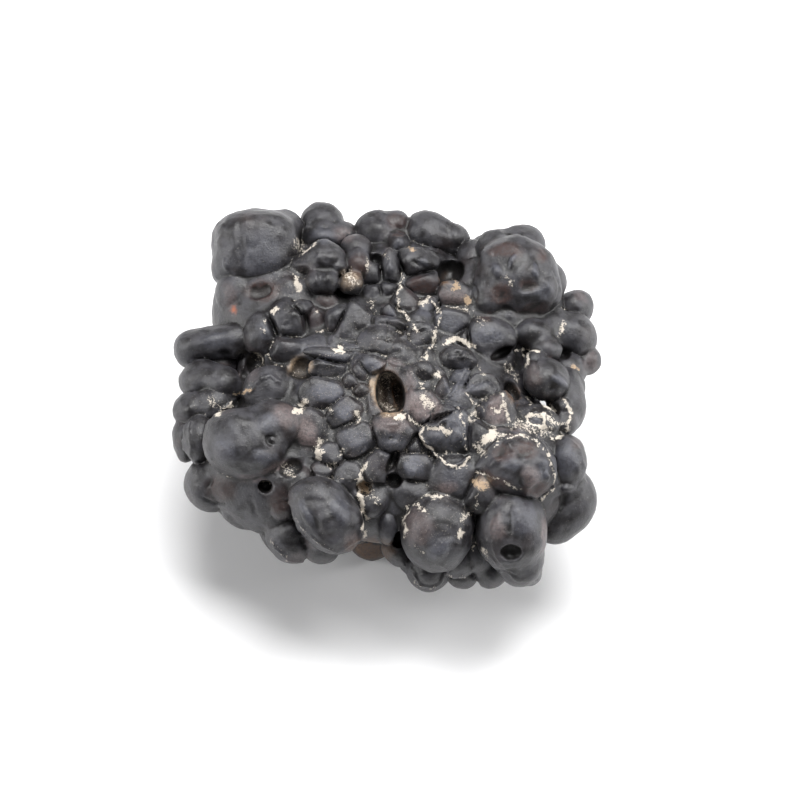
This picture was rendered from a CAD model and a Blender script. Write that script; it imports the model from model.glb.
"""Limonite concretion, dressed: one knobbly iron-oxide stone, with its crust, dust and lodged grains."""

import math
import random
from collections import namedtuple

import bpy
import numpy as np
import openvdb
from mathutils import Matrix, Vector
from mathutils.bvhtree import BVHTree


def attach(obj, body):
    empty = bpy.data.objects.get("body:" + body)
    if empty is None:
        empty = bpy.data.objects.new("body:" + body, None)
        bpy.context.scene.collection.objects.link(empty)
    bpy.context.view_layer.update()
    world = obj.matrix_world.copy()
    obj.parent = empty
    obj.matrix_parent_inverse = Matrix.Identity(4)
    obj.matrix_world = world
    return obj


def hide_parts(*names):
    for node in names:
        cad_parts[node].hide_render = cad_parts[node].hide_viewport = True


MM = 0.001

# The layout is read in the frame of one sight line, as in the solid: across to the right, up,
# and out to the eye. It looks towards +Y and down at this angle. Lengths are in millimetres.
SIGHT_TILT = math.radians(60)
FACE_MIDDLE_HEIGHT = 18.0
FOOTPRINT_MIDDLE = (-0.06, 0.58)

# Field: the stone is modelled as a distance field on a grid of this pitch.
CELL = 0.2
FIELD_LOW = (-27.2, -26.4, -1.2)
FIELD_HIGH = (27.2, 27.0, 31.0)
FIELD_REACH = 3.0
MOST_TRIANGLES = 196000

# The great masses: x, y, height and half sizes along x, y and z.
MASSES = [
    (0.0, -1.0, -1.0, 18.6, 17.5, 9.4),
    (-12.5, 12.0, 0.2, 8.6, 8.6, 6.8),
    (13.0, 10.5, 0.6, 8.8, 8.6, 7.3),
    (-13.0, -8.5, -1.5, 9.0, 8.5, 7.5),
    (13.5, -9.5, -0.5, 9.2, 9.5, 8.0),
    (0.5, 14.0, -0.4, 10.2, 8.2, 6.6),
    (0.5, 0.0, -5.8, 16.4, 15.4, 9.4),
]
MASS_SOFTNESS = 1.6

# Lobes, each grown of knobs that run softly into one another. For each lobe the softness, and for
# each knob across, up, height, half sizes across, up and out to the eye, a turn in degrees,
# and how square it is (2 is round).
LOBES = {
    "top left": (0.9, [
        (-15.5, 17.9, 4.5, 4.9, 4.7, 4.6, 0, 2.9),
        (-18.5, 18.6, 3.8, 2.5, 3.1, 3.0, 0, 2.2),
        (-15.8, 20.5, 3.7, 2.5, 2.3, 2.8, 0, 2),
        (-12.5, 20.2, 3.4, 2.4, 2.5, 2.8, 0, 2),
        (-18.8, 15.6, 3.6, 2.1, 2.4, 2.8, 0, 2),
    ]),
    "below top left": (0.8, [
        (-17.7, 12.2, 2.8, 2.8, 3.8, 3.2, 0, 2),
        (-14.9, 12.2, 3.6, 2.8, 3.0, 3.0, 0, 2),
        (-11.8, 12.6, 4.6, 2.4, 2.4, 2.6, 0, 2),
    ]),
    "second from the left": (0.7, [
        (-7.8, 21.2, 2.4, 2.6, 2.5, 3.0, 0, 2),
        (-7.8, 19.4, 3.4, 2.5, 2.2, 2.8, 0, 2),
        (-5.2, 19.6, 2.9, 1.8, 1.6, 2.2, 0, 2),
    ]),
    "dark knob under it": (0.5, [
        (-7.4, 16.5, 6.8, 2.5, 2.3, 2.6, 0, 2),
        (-9.6, 15.9, 5.9, 1.6, 1.3, 2.0, -15, 2),
        (-5.7, 15.6, 6.9, 0.9, 0.9, 1.3, 0, 2),
        (-8.3, 14.0, 7.0, 1.2, 1.4, 1.8, 0, 2),
        (-6.9, 14.0, 7.1, 1.2, 1.4, 1.8, 0, 2),
    ]),
    "brown knob beside it": (0.5, [
        (-3.6, 18.0, 5.4, 1.8, 1.8, 2.3, 0, 2),
        (-3.5, 16.0, 6.0, 1.7, 1.8, 2.2, 0, 2),
        (-4.2, 13.8, 6.9, 1.5, 1.2, 1.5, 0, 2),
    ]),
    "top middle": (0.8, [
        (-1.0, 19.6, 2.4, 2.9, 3.1, 3.2, 0, 2),
        (1.3, 20.9, 3.1, 1.6, 1.7, 2.0, 0, 2),
        (1.5, 18.5, 4.4, 1.3, 1.5, 1.8, 0, 2),
    ]),
    "right of top middle": (1.0, [
        (5.1, 19.8, 2.5, 3.0, 2.8, 3.2, 0, 2),
        (8.0, 19.0, 2.2, 2.0, 2.1, 2.6, -20, 2),
    ]),
    "behind the dark hole": (1.0, [
        (10.6, 16.4, 2.5, 2.2, 2.8, 3.0, 0, 2),
    ]),
    "upper right": (0.8, [
        (15.6, 14.2, 6.0, 4.9, 5.1, 4.8, -15, 2.3),
        (16.3, 18.3, 4.0, 3.0, 2.6, 3.2, 0, 2),
        (13.2, 17.9, 4.9, 2.3, 2.4, 3.0, 0, 2),
        (18.5, 12.8, 6.5, 2.5, 2.6, 2.8, 0, 2),
        (12.5, 12.1, 6.5, 2.3, 2.8, 2.8, 0, 2),
    ]),
    "shell of the upper right": (0.6, [
        (19.4, 13.9, 4.0, 2.2, 2.6, 2.8, 0, 2),
    ]),
    "right edge cap": (0.5, [
        (22.6, 11.0, 0.7, 1.9, 1.9, 2.6, 0, 2),
        (23.0, 10.9, 0.0, 2.0, 2.0, 2.4, 0, 2),
    ]),
    "right edge": (0.8, [
        (22.8, 7.4, 1.2, 2.4, 2.8, 3.4, 0, 2),
        (19.5, 8.0, 2.2, 3.2, 3.0, 3.2, 0, 2),
        (17.4, 7.7, 4.8, 2.6, 1.8, 2.2, 0, 2),
        (19.2, 5.7, 4.5, 1.8, 1.4, 2.0, 0, 2),
    ]),
    "right edge foot": (0.5, [
        (24.1, 4.6, -0.5, 1.6, 1.8, 2.4, 0, 2),
        (21.6, 3.2, 0.9, 2.3, 2.2, 2.6, 0, 2),
    ]),
    "right knob": (0.5, [
        (19.2, 2.2, 5.2, 2.7, 2.5, 2.8, -20, 2),
        (17.9, 4.3, 5.3, 1.3, 1.3, 1.8, 0, 2),
    ]),
    "right of it": (0.8, [
        (21.6, -0.3, 1.5, 2.3, 3.8, 3.6, 0, 2),
        (20.6, -3.0, 2.6, 2.2, 1.8, 2.2, 0, 2),
    ]),
    "crusted shelf": (0.9, [
        (17.6, -3.0, 4.2, 3.2, 2.2, 2.6, 0, 2),
        (21.0, -1.0, 3.6, 1.1, 1.1, 1.6, 0, 2),
    ]),
    "oval lobe": (0.5, [
        (15.7, -8.2, 5.7, 4.4, 3.7, 3.6, -14, 2.2),
        (12.4, -7.9, 5.4, 2.4, 1.2, 2.2, 22, 2),
    ]),
    "right of the oval": (0.6, [
        (21.5, -7.7, 2.2, 2.3, 3.2, 3.2, 0, 2.2),
        (21.4, -10.8, 1.2, 1.2, 0.8, 1.8, 0, 2),
    ]),
    "lower right edge": (0.9, [
        (22.1, -12.2, -2.6, 3.0, 3.8, 3.6, 0, 2),
        (20.4, -14.2, -3.4, 2.8, 3.2, 3.4, -20, 2),
    ]),
    "great lower right": (0.7, [
        (14.9, -15.6, 1.2, 4.2, 4.8, 4.4, 0, 2.2),
        (15.9, -19.2, -2.4, 2.9, 3.2, 3.6, 0, 2),
        (17.0, -20.9, -4.8, 1.6, 1.5, 2.2, 0, 2),
    ]),
    "bottom right": (0.5, [
        (12.6, -20.5, -5.6, 2.1, 2.1, 2.6, 0, 2),
        (10.9, -18.2, -3.2, 2.4, 2.6, 2.8, 0, 2),
    ]),
    "bottom": (0.5, [
        (9.1, -20.9, -6.5, 1.7, 1.7, 2.4, 0, 2),
    ]),
    "bottom dark": (0.5, [
        (8.3, -19.2, -3.3, 2.4, 2.2, 2.6, 0, 2),
    ]),
    "great lower middle": (0.8, [
        (6.1, -15.8, 1.2, 4.2, 4.8, 4.4, -10, 2.1),
        (5.1, -20.3, -5.3, 2.7, 2.8, 3.2, 0, 2),
    ]),
    "sliver": (0.5, [
        (0.2, -14.9, 0.1, 1.3, 2.5, 2.2, 0, 2),
        (1.3, -18.0, -4.3, 1.5, 2.2, 2.4, 25, 2),
    ]),
    "tooth": (0.5, [
        (-7.0, -13.9, 2.7, 3.6, 4.9, 4.0, 38, 2.2),
        (-8.2, -11.6, 4.2, 3.4, 2.0, 2.8, 0, 2),
    ]),
    "left of the tooth": (0.4, [
        (-12.4, -12.7, 0.6, 1.7, 2.0, 2.2, 0, 2),
    ]),
    "below the tooth": (0.6, [
        (-11.6, -16.3, -3.3, 2.8, 3.5, 3.2, 25, 2),
    ]),
    "below the tooth, right": (0.4, [
        (-7.6, -17.8, -3.3, 2.2, 1.9, 2.6, 0, 2),
    ]),
    "lower left": (0.7, [
        (-20.9, -10.2, -2.8, 3.1, 3.3, 3.6, 0, 2),
        (-18.0, -8.8, -1.0, 3.8, 3.3, 3.8, 0, 2),
    ]),
    "lower left edge": (0.6, [
        (-17.3, -13.0, -3.5, 2.5, 2.2, 3.0, 0, 2),
        (-15.2, -12.6, -2.6, 1.8, 2.2, 2.6, 0, 2),
        (-12.5, -13.3, -2.0, 3.2, 3.4, 3.6, 0, 2),
    ]),
    "great left": (0.8, [
        (-16.6, -5.5, 4.7, 5.1, 4.2, 4.4, -12, 2.1),
        (-13.4, -3.4, 5.6, 3.6, 3.2, 3.2, 0, 2),
    ]),
    "left edge": (0.7, [
        (-23.2, -1.5, 0.5, 2.2, 2.2, 2.8, 0, 2),
        (-20.4, -0.9, 1.4, 2.6, 2.4, 2.8, 0, 2),
    ]),
    "left edge, lower": (0.5, [
        (-22.3, -5.0, 1.0, 1.9, 2.8, 2.8, 0, 2),
    ]),
    "left rim": (0.4, [
        (-24.1, -4.9, -1.2, 1.4, 2.7, 2.6, 0, 2),
    ]),
    "left knob": (0.7, [
        (-22.0, 2.1, 1.2, 2.8, 2.4, 3.0, 0, 2),
        (-19.6, 1.7, 2.5, 2.4, 2.3, 2.6, 0, 2),
    ]),
    "left arm": (0.7, [
        (-20.7, 6.5, 1.6, 3.9, 2.1, 3.0, 3, 2),
        (-23.5, 5.8, 0.5, 2.0, 2.2, 2.8, 0, 2),
        (-18.2, 7.0, 2.6, 2.3, 1.9, 2.4, 0, 2),
    ]),
    "under the left arm": (0.6, [
        (-20.3, 4.1, -1.0, 2.8, 2.6, 3.0, 0, 2),
    ]),
}

# Lumps half sunk in what lies behind them: across, up, how proud their middle stands,
# half sizes across, up and out, a turn in degrees, softness of the joint, and flat facets,
# each the way it leans in degrees (90 is up), how far it leans and how deep it cuts.
COBBLES = [
    # left of the middle, above
    (-11.5, 8.9, 1.0, 2.4, 2.3, 2.4, 0, 0.3, ()),
    (-11.8, 6.0, 1.3, 2.2, 1.5, 1.8, -8, 0.3, ()),
    (-14.8, 7.5, 0.8, 1.7, 2.2, 2.0, 0, 0.3, ()),
    (-9.9, 10.6, 0.8, 1.2, 1.0, 1.2, 0, 0.4, ()),
    (-7.3, 11.5, 0.5, 1.3, 1.1, 1.2, 0, 0.3, ()),
    (-8.5, 9.3, 0.4, 1.5, 1.4, 1.4, 0, 0.3, ()),
    (-14.0, 1.0, 0.8, 2.4, 2.2, 2.2, 0, 0.4, ()),
    # under the top knobs
    (3.7, 16.1, 1.4, 2.4, 1.5, 1.9, -8, 0.2, ()),
    (4.4, 13.6, 0.9, 2.1, 1.6, 1.6, 0, 0.3, ((270, 20, 0.75),)),
    (0.5, 15.2, 0.8, 0.9, 2.2, 1.4, 4, 0.2, ()),
    (0.2, 12.8, 0.6, 1.0, 1.0, 1.0, 0, 0.2, ()),
    (-1.6, 14.9, 0.6, 1.3, 1.3, 1.5, 0, 0.2, ()),
    (-1.5, 12.4, 0.3, 1.0, 1.3, 1.0, 0, 0.2, ()),
    (2.4, 11.2, 0.4, 1.5, 1.9, 1.3, 10, 0.2, ((60, 22, 0.7), (250, 28, 0.7))),
    (5.0, 10.9, 0.4, 1.5, 1.6, 1.2, 0, 0.2, ((120, 20, 0.7), (330, 30, 0.7))),
    (-3.9, 8.4, 0.5, 2.1, 2.4, 1.6, 0, 0.3, ((100, 15, 0.75), (300, 26, 0.7))),
    (-5.9, 9.4, 0.3, 1.5, 1.3, 1.3, 20, 0.2, ()),
    (0.7, 10.2, 0.5, 1.0, 1.0, 1.0, 0, 0.15, ((90, 12, 0.6),)),
    (0.4, 8.3, 0.3, 2.2, 1.5, 1.4, 0, 0.2, ((270, 16, 0.6),)),
    (1.7, 6.9, 0.5, 1.3, 1.1, 1.1, 0, 0.15, ((80, 14, 0.6), (200, 30, 0.7))),
    (4.2, 7.2, 0.5, 1.6, 1.6, 1.3, 0, 0.2, ((100, 14, 0.65), (300, 30, 0.7))),
    (8.1, 12.2, 0.8, 2.1, 1.5, 1.6, -6, 0.2, ((95, 12, 0.66), (260, 30, 0.7))),
    (7.7, 9.1, 0.8, 1.8, 1.8, 1.7, 0, 0.3, ((80, 8, 0.8),)),
    (12.0, 7.2, 0.9, 2.9, 1.9, 1.9, -8, 0.3, ((85, 10, 0.8),)),
    (9.4, 6.9, 0.4, 1.2, 1.1, 1.2, 0, 0.2, ()),
    # middle
    (-7.2, 0.7, 0.8, 2.6, 1.6, 1.6, 0, 0.2, ((95, 14, 0.7), (190, 30, 0.75))),
    (-6.6, 3.3, 0.5, 2.3, 1.3, 1.3, 0, 0.15, ((265, 14, 0.65),)),
    (-6.2, 4.9, 0.8, 2.9, 0.8, 1.1, -9, 0.2, ()),
    (-4.9, -1.8, 0.9, 1.7, 1.7, 1.4, 0, 0.15, ((80, 12, 0.6), (330, 30, 0.7), (200, 30, 0.7))),
    (-4.2, 1.9, 0.3, 0.8, 0.8, 0.8, 0, 0.15, ()),
    (-3.1, 0.9, 0.3, 0.8, 0.8, 0.8, 0, 0.15, ()),
    (-3.0, 3.0, 0.3, 0.8, 0.9, 0.8, 0, 0.15, ()),
    (-1.7, 3.9, 0.8, 1.3, 1.0, 1.0, 0, 0.2, ()),
    (0.9, -4.3, 1.2, 2.5, 2.1, 1.9, 0, 0.3, ()),
    (3.3, -5.9, 0.4, 1.0, 1.0, 1.0, 0, 0.2, ()),
    (-3.4, -5.2, 0.9, 2.2, 1.8, 1.6, 12, 0.15, ((100, 16, 0.62), (290, 38, 0.62), (190, 34, 0.7))),
    (-6.7, -6.8, 0.8, 1.5, 1.3, 1.4, 0, 0.15, ((60, 16, 0.62), (230, 34, 0.65))),
    (-7.3, -8.4, 0.6, 1.5, 0.9, 1.2, 10, 0.15, ((90, 20, 0.65),)),
    (-9.0, -3.6, 0.5, 2.0, 2.0, 1.5, 0, 0.3, ((120, 10, 0.8),)),
    (-10.3, -9.6, 0.5, 1.6, 1.3, 1.5, 0, 0.3, ()),
    (-4.4, -9.4, 0.3, 1.8, 1.9, 1.5, 0, 0.2, ((100, 14, 0.7), (280, 30, 0.7))),
    (-0.9, -8.3, 0.6, 1.5, 2.1, 1.6, 0, 0.2, ((170, 20, 0.7), (350, 28, 0.7))),
    (-1.4, -12.0, 0.3, 1.5, 1.7, 1.4, 0, 0.2, ((100, 22, 0.7),)),
    (3.3, -8.2, 1.2, 1.7, 1.7, 1.5, 0, 0.12, ((85, 14, 0.58), (215, 34, 0.66), (320, 30, 0.68))),
    (3.1, -11.2, 0.5, 1.8, 1.6, 1.5, 0, 0.2, ((70, 18, 0.7), (250, 30, 0.7))),
    # right of the middle
    (4.5, -1.3, 0.6, 2.3, 1.9, 1.4, 0, 0.4, ((90, 6, 0.8),)),
    (4.4, 3.2, 0.6, 1.1, 1.0, 1.0, 0, 0.2, ()),
    (8.6, 4.7, 1.0, 1.7, 1.3, 1.3, 0, 0.25, ()),
    (8.6, 1.9, 0.6, 0.8, 2.5, 1.2, -24, 0.2, ((20, 30, 0.6), (170, 30, 0.6))),
    (7.0, 1.0, 0.4, 0.8, 2.2, 1.0, -24, 0.2, ()),
    (11.2, 0.8, 1.1, 2.1, 1.7, 1.5, 8, 0.12, ((95, 24, 0.52), (285, 26, 0.5), (20, 40, 0.6))),
    (13.1, -1.8, 0.6, 1.8, 2.4, 1.6, 0, 0.35, ((100, 10, 0.8),)),
    (7.1, -4.8, 1.2, 3.1, 3.1, 2.0, -10, 0.2, ((262, 26, 0.62),)),
    (6.0, -2.0, 0.9, 1.8, 0.9, 1.2, 16, 0.2, ()),
    (8.2, -9.7, 0.9, 2.7, 2.3, 1.9, 0, 0.3, ((90, 8, 0.8),)),
    (11.4, -4.6, 0.4, 1.7, 1.9, 1.5, 0, 0.3, ()),
    (11.2, -11.3, 0.4, 1.9, 1.9, 1.7, 0, 0.3, ()),
]
FACET_ROUNDING = 0.22
LOBE_SOFTNESS = 0.55
GROOVE_DEPTH = 0.16
GROOVE_WIDTH = 0.24
LOBE_SWELL = 0.12
COBBLE_SWELL = 1.32
NEIGHBOUR_REACH = 5.0
SIDE_LEAN = math.radians(14)

# Pits sunk into the face: across, up, half sizes across and up, depth and a turn in degrees.
PITS = [
    (0.4, 0.6, 1.75, 2.75, 4.6, 8),
    (1.3, 0.4, 0.9, 1.9, 5.6, 8),
    (7.7, 15.2, 1.7, 2.0, 3.6, -20),
    (-15.9, 4.0, 1.3, 1.7, 3.0, 0),
    (-16.9, 2.9, 1.0, 0.9, 2.0, 0),
    (1.6, -16.7, 0.9, 1.1, 2.6, 0),
    (14.8, -18.3, 1.25, 1.15, 1.3, 0),
    (21.2, 5.2, 0.8, 0.8, 1.9, 0),
    (20.1, -1.4, 0.55, 0.9, 1.4, 0),
    (15.1, 0.6, 1.0, 1.6, 1.8, 0),
    (14.0, 5.3, 1.6, 0.6, 1.8, 24),
    (-14.3, -10.5, 0.9, 0.8, 2.0, 0),
    (-13.7, -4.9, 0.75, 0.75, 0.5, 0),
    (-15.3, 12.9, 1.6, 1.2, 0.8, 0),
    (-1.4, 16.7, 0.9, 0.8, 1.8, 0),
    (0.8, -7.6, 0.6, 1.4, 1.6, -20),
    (1.0, -9.8, 0.9, 0.9, 1.6, 0),
    (-2.6, -10.6, 1.0, 0.8, 1.4, 0),
    (-11.3, -8.3, 1.4, 1.0, 1.2, 20),
    (-10.1, 3.5, 1.7, 1.4, 1.5, 0),
]
PIT_ROUNDING = 0.25

# Small swellings and hollows of the face: across, up, half sizes, a turn and how far they stand out.
SWELLINGS = [
    # top left
    (-14.4, 16.4, 2.4, 2.1, 0, 0.18),
    (-17.5, 18.6, 0.7, 2.6, 8, -0.30),
    (-20.0, 20.6, 0.6, 0.7, 0, 0.25),
    (-19.9, 18.8, 0.7, 0.7, 0, 0.25),
    (-19.2, 16.0, 0.5, 1.0, 25, 0.30),
    (-12.3, 19.5, 1.0, 0.8, 0, 0.18),
    (-13.3, 21.3, 1.2, 0.6, 0, -0.22),
    (-16.6, 21.0, 1.0, 0.8, 0, 0.12),
    (-7.6, 19.4, 1.7, 0.9, 0, 0.20),
    (-7.9, 20.7, 2.4, 0.4, -6, -0.18),
    (-6.4, 17.1, 0.9, 0.8, 0, 0.40),
    (-8.0, 16.9, 0.5, 0.6, 0, 0.25),
    (-9.4, 15.9, 1.3, 0.6, -10, 0.22),
    (-5.6, 15.7, 0.6, 0.6, 0, 0.30),
    (-8.4, 14.2, 0.5, 0.9, 10, 0.30),
    (-6.9, 14.3, 0.6, 0.8, -10, 0.32),
    (-7.3, 15.5, 1.3, 0.6, 0, -0.35),
    (-3.4, 17.5, 0.5, 0.8, 15, 0.28),
    (-3.5, 17.0, 1.5, 0.4, 0, -0.15),
    (-10.9, 10.1, 0.9, 0.6, 0, 0.25),
    (-9.8, 10.8, 0.5, 0.7, 10, 0.28),
    (-11.8, 9.0, 1.0, 0.8, 0, -0.28),
    (-11.9, 9.2, 0.4, 0.35, 0, 0.16),
    (-14.6, 8.1, 0.9, 1.0, 0, 0.22),
    (-13.3, 6.5, 0.4, 0.9, -30, 0.25),
    (-11.2, 5.8, 1.2, 0.7, 0, 0.18),
    # left
    (-20.5, 7.0, 2.1, 0.9, 5, 0.22),
    (-23.4, 6.4, 1.0, 0.9, 0, 0.14),
    (-19.3, 5.3, 1.0, 0.7, 0, -0.35),
    (-18.0, 5.4, 0.5, 0.7, 0, 0.22),
    (-21.6, 2.9, 1.2, 0.7, 0, 0.18),
    (-23.0, 0.9, 0.8, 0.6, 0, 0.16),
    (-19.7, 1.8, 1.1, 0.8, 0, 0.14),
    (-23.6, -1.4, 0.9, 0.8, 0, 0.20),
    (-21.2, -2.8, 0.9, 1.0, 0, 0.18),
    (-21.6, -0.3, 1.1, 0.7, 0, -0.22),
    (-18.9, -6.4, 1.5, 1.7, 0, 0.38),
    (-14.5, -7.1, 1.7, 1.0, 4, 0.38),
    (-14.0, -3.0, 1.4, 1.5, 0, 0.34),
    (-16.5, -4.4, 1.2, 1.5, 0, -0.25),
    (-16.7, -8.1, 1.0, 0.8, 0, -0.22),
    (-13.7, -4.9, 0.4, 0.4, 0, 0.42),
    # lower left
    (-22.5, -8.7, 0.8, 1.1, 0, 0.22),
    (-19.6, -10.6, 1.5, 1.3, 0, 0.18),
    (-21.3, -10.8, 0.4, 1.6, -30, -0.16),
    (-17.9, -13.4, 1.0, 0.8, 0, 0.25),
    (-15.7, -13.2, 0.4, 1.3, 15, -0.22),
    (-11.1, -15.9, 1.3, 1.1, 0, 0.28),
    (-9.9, -16.7, 0.8, 1.0, 0, -0.24),
    (-9.5, -13.6, 0.5, 1.8, 22, 0.34),
    (-5.3, -13.6, 1.1, 2.0, 22, 0.34),
    (-7.0, -14.3, 0.9, 0.8, 0, 0.18),
    (-8.3, -14.8, 0.7, 1.9, 30, -0.28),
    (-6.5, -16.2, 1.4, 0.8, 10, -0.18),
    (-8.4, -12.2, 1.3, 0.5, 0, -0.22),
    # lower right
    (13.2, -15.4, 0.8, 1.9, 6, 0.34),
    (16.3, -14.4, 1.8, 2.2, 0, 0.34),
    (14.7, -15.0, 0.4, 2.2, 0, -0.30),
    (17.3, -21.3, 1.1, 0.9, 0, 0.22),
    (3.9, -15.0, 1.7, 2.0, 0, 0.22),
    (6.5, -17.8, 0.9, 2.0, -50, 0.28),
    (9.4, -17.6, 1.1, 1.2, 0, 0.22),
    (5.1, -21.3, 1.2, 0.8, 0, 0.24),
    (4.1, -18.6, 0.9, 1.4, -40, -0.22),
    (8.0, -16.2, 0.9, 1.3, 0, -0.20),
    (8.3, -9.0, 1.6, 1.3, 0, 0.22),
    (6.4, -13.6, 1.6, 1.2, 0, 0.15),
    (14.7, -5.7, 0.7, 0.7, 0, 0.40),
    (14.9, -7.8, 1.3, 1.0, 0, 0.45),
    (17.1, -9.2, 1.2, 1.4, 0, 0.40),
    (18.6, -7.8, 0.8, 0.8, 0, 0.34),
    (19.1, -9.5, 0.4, 0.8, 0, 0.34),
    (12.8, -7.6, 0.5, 1.3, -50, 0.28),
    (13.5, -6.4, 0.6, 1.1, -30, -0.34),
    (16.7, -6.5, 1.5, 0.8, 0, -0.40),
    (16.0, -10.0, 0.6, 1.0, 0, -0.34),
    (18.0, -10.8, 1.6, 0.8, 30, -0.28),
    (21.4, -7.0, 1.6, 2.3, 0, 0.22),
    (22.9, -8.6, 0.5, 0.9, 0, 0.18),
    (21.4, -10.8, 1.0, 0.5, 0, 0.22),
    (21.6, -13.2, 1.7, 0.7, 40, 0.18),
    (20.6, -12.4, 1.6, 0.5, 40, -0.20),
    # right
    (20.7, 2.0, 1.2, 0.6, -45, 0.45),
    (17.5, 4.1, 0.4, 0.7, 0, 0.25),
    (18.4, 4.0, 0.4, 0.6, 0, 0.25),
    (17.9, 4.9, 0.7, 0.4, 0, -0.22),
    (18.2, 2.0, 1.3, 1.5, 0, 0.18),
    (19.5, 1.2, 0.8, 0.8, 0, -0.30),
    (21.3, 3.2, 1.4, 0.4, -40, -0.22),
    (21.7, -0.8, 0.7, 1.4, 0, 0.18),
    (17.9, -2.7, 0.6, 0.5, 0, 0.22),
    (16.0, -3.8, 1.0, 0.7, 0, 0.22),
    (19.6, -3.7, 0.9, 0.7, 0, 0.20),
    (22.6, 8.9, 1.4, 0.9, 0, 0.18),
    (20.9, 8.2, 0.9, 1.4, 0, -0.16),
    (23.0, 5.4, 1.0, 0.9, 0, 0.12),
    # upper right
    (14.1, 16.7, 2.2, 1.7, -20, -0.42),
    (13.1, 15.3, 0.6, 1.0, 0, 0.55),
    (15.0, 16.5, 0.5, 1.1, -30, 0.55),
    (18.2, 15.9, 1.0, 1.7, 12, -0.42),
    (17.9, 15.2, 0.6, 1.0, 8, 0.60),
    (16.8, 13.4, 1.2, 0.8, 0, -0.30),
    (13.8, 12.3, 1.3, 0.9, -20, -0.30),
    (17.7, 10.6, 1.9, 0.8, 20, -0.34),
    (19.4, 13.1, 0.6, 1.2, 15, 0.30),
    (17.8, 12.6, 1.3, 0.7, 20, 0.25),
    (11.4, 11.2, 1.0, 0.7, 0, 0.28),
    (14.9, 9.8, 0.6, 0.6, 0, 0.30),
    (12.0, 17.4, 0.7, 1.2, -20, 0.28),
    (16.1, 19.6, 1.8, 0.8, 0, 0.25),
    (11.1, 13.4, 0.6, 1.0, 0, 0.22),
    (15.6, 14.6, 0.7, 1.5, 0, 0.18),
    # top
    (4.6, 16.3, 1.0, 0.6, -20, 0.40),
    (3.5, 16.2, 0.5, 1.0, 40, -0.28),
    (2.2, 16.5, 0.8, 0.8, 0, 0.22),
    (1.5, 18.6, 0.7, 1.0, 0, 0.28),
    (1.6, 20.0, 1.1, 0.4, 0, -0.28),
    (1.3, 21.3, 1.0, 0.9, 0, 0.16),
    (-1.1, 20.5, 1.6, 1.1, 0, 0.14),
    (-1.0, 18.2, 1.2, 0.6, 0, -0.15),
    (6.0, 19.0, 1.7, 1.7, 0, 0.22),
    (8.4, 19.8, 1.0, 1.2, 0, 0.18),
    (7.2, 20.2, 0.4, 1.2, 30, -0.16),
    (0.5, 15.8, 0.4, 1.1, 0, 0.34),
    (0.3, 14.2, 0.4, 0.6, 0, -0.2),
    (12.3, 7.7, 1.8, 0.9, 0, 0.18),
    # middle
    (9.1, 5.0, 0.4, 0.6, 0, 0.34),
    (8.0, 4.7, 0.5, 0.6, 0, 0.34),
    (8.5, 5.4, 0.35, 0.35, 0, -0.34),
    (5.9, -5.0, 1.0, 0.9, 0, 0.45),
    (8.6, -4.6, 0.6, 1.1, 0, 0.40),
    (7.2, -4.0, 0.7, 0.9, 0, -0.30),
    (8.1, -2.6, 0.8, 0.9, 0, 0.28),
    (7.0, -3.1, 0.5, 0.5, 0, -0.25),
    (0.9, -5.6, 0.8, 0.7, 0, 0.28),
    (-0.5, -4.0, 1.3, 1.1, 0, 0.18),
    (0.3, -4.9, 1.0, 0.4, 0, -0.20),
]

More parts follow.
